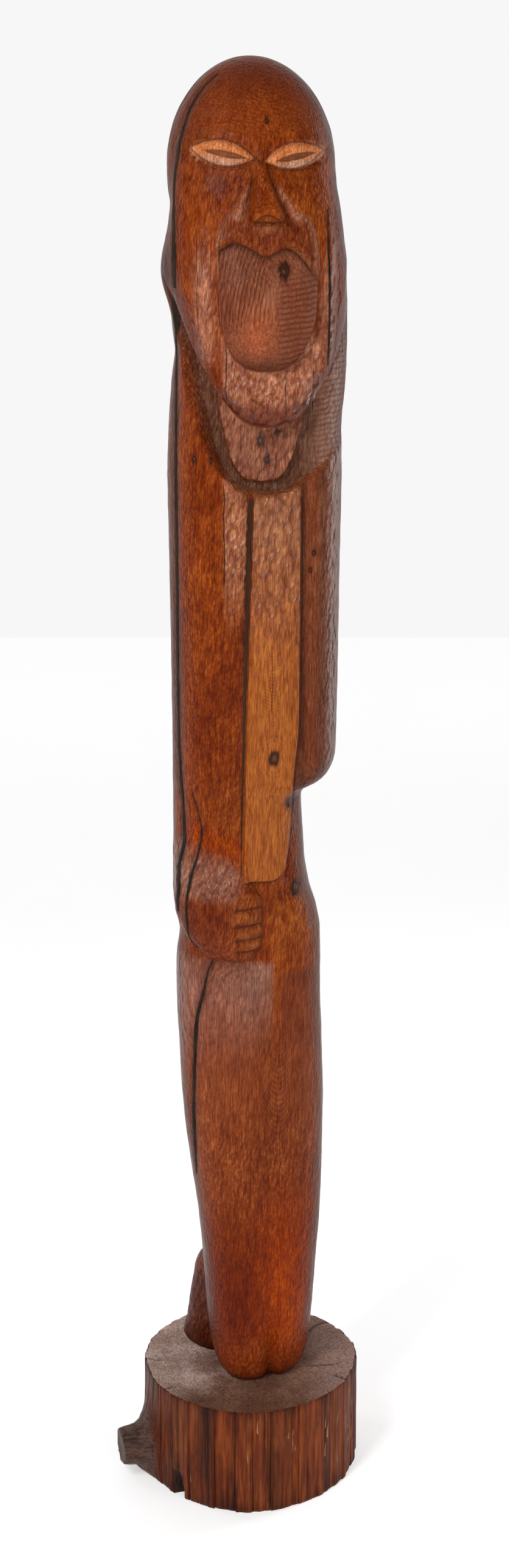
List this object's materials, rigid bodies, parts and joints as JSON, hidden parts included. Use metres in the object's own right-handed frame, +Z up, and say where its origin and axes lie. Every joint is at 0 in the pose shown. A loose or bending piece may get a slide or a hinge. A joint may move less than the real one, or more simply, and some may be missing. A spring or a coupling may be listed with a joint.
{
  "type": "carved ancestor figure",
  "caption": "Tall kneeling figure carved from one log, one fist at the hip and one arm behind the back, standing on a log-slice stump.",
  "frame": {"origin": "centre of the stump's flat underside, on the floor", "axes": "+Z up the figure, -Y is the way the face looks, +X to the right as seen by someone facing it"},
  "size_m": [0.3262, 0.2846, 1.7995],
  "materials": {
    "figure_wood": "oiled, satin gloss, gouge marks",
    "stump_wood": "split and weathered, oiled",
    "dark_filler": "dark wood filler, matte",
    "spline_wood": "dark wood strip, satin",
    "dowel_wood": "plain hardwood",
    "zinc_steel": "zinc plated, dull"
  },
  "bodies": {
    "root": {"carved_figure": "figure_wood", "stump_base": "stump_wood", "side_check_filler": "dark_filler", "hip_check_filler": "dark_filler", "thigh_check_filler": "dark_filler", "cheek_check_filler": "dark_filler", "chest_spline": "spline_wood", "base_dowel": "dowel_wood", "lag_screws": "zinc_steel", "washers": "zinc_steel"}
  },
  "joints": []
}
